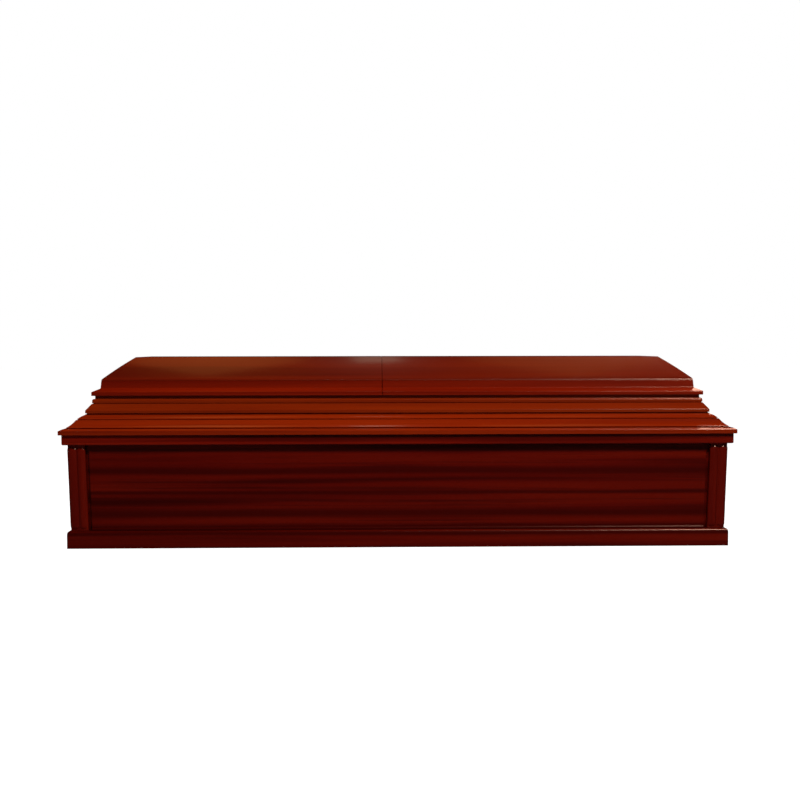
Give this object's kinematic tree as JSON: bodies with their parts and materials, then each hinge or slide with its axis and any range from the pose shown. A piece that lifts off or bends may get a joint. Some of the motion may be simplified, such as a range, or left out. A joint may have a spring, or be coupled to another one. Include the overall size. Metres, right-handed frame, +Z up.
{
  "type": "wooden coffin",
  "caption": "Lacquered wooden coffin: flared panelled box with reeded corner posts on a base moulding, ogee and stepped rim, and a hipped crown in a short and a long cap.",
  "frame": {"origin": "on the floor, under the middle of the coffin's length and width", "axes": "+X along the length to the foot end, -Y to the front, +Z up"},
  "size_m": [2.08, 0.71, 0.5858],
  "materials": {
    "crown_lacquer": "gloss",
    "moulding_lacquer": "gloss",
    "rail_lacquer": "gloss",
    "panel_lacquer": "gloss",
    "floor_board": "matte"
  },
  "bodies": {
    "root": {"bottom_board": "floor_board", "base_moulding_front": "rail_lacquer", "base_moulding_foot": "rail_lacquer", "base_moulding_back": "rail_lacquer", "base_moulding_head": "rail_lacquer", "corner_post_front_head": "rail_lacquer", "corner_post_front_foot": "rail_lacquer", "corner_post_back_foot": "rail_lacquer", "corner_post_back_head": "rail_lacquer", "side_panel_front": "panel_lacquer", "end_panel_foot": "panel_lacquer", "side_panel_back": "panel_lacquer", "end_panel_head": "panel_lacquer", "top_rail_front": "rail_lacquer", "top_rail_foot": "rail_lacquer", "top_rail_back": "rail_lacquer", "top_rail_head": "rail_lacquer", "ogee_moulding_front": "moulding_lacquer", "ogee_moulding_foot": "moulding_lacquer", "ogee_moulding_back": "moulding_lacquer", "ogee_moulding_head": "moulding_lacquer", "step_moulding_front": "moulding_lacquer", "step_moulding_foot": "moulding_lacquer", "step_moulding_back": "moulding_lacquer", "step_moulding_head": "moulding_lacquer", "head_cap_rail_front": "crown_lacquer", "head_cap_rail_back": "crown_lacquer", "head_cap_rail_end": "crown_lacquer", "head_cap_slope_front": "crown_lacquer", "head_cap_slope_back": "crown_lacquer", "head_cap_slope_end": "crown_lacquer", "head_cap_top": "crown_lacquer", "foot_cap_rail_front": "crown_lacquer", "foot_cap_rail_back": "crown_lacquer", "foot_cap_rail_end": "crown_lacquer", "foot_cap_slope_front": "crown_lacquer", "foot_cap_slope_back": "crown_lacquer", "foot_cap_slope_end": "crown_lacquer", "foot_cap_top": "crown_lacquer"}
  },
  "joints": []
}
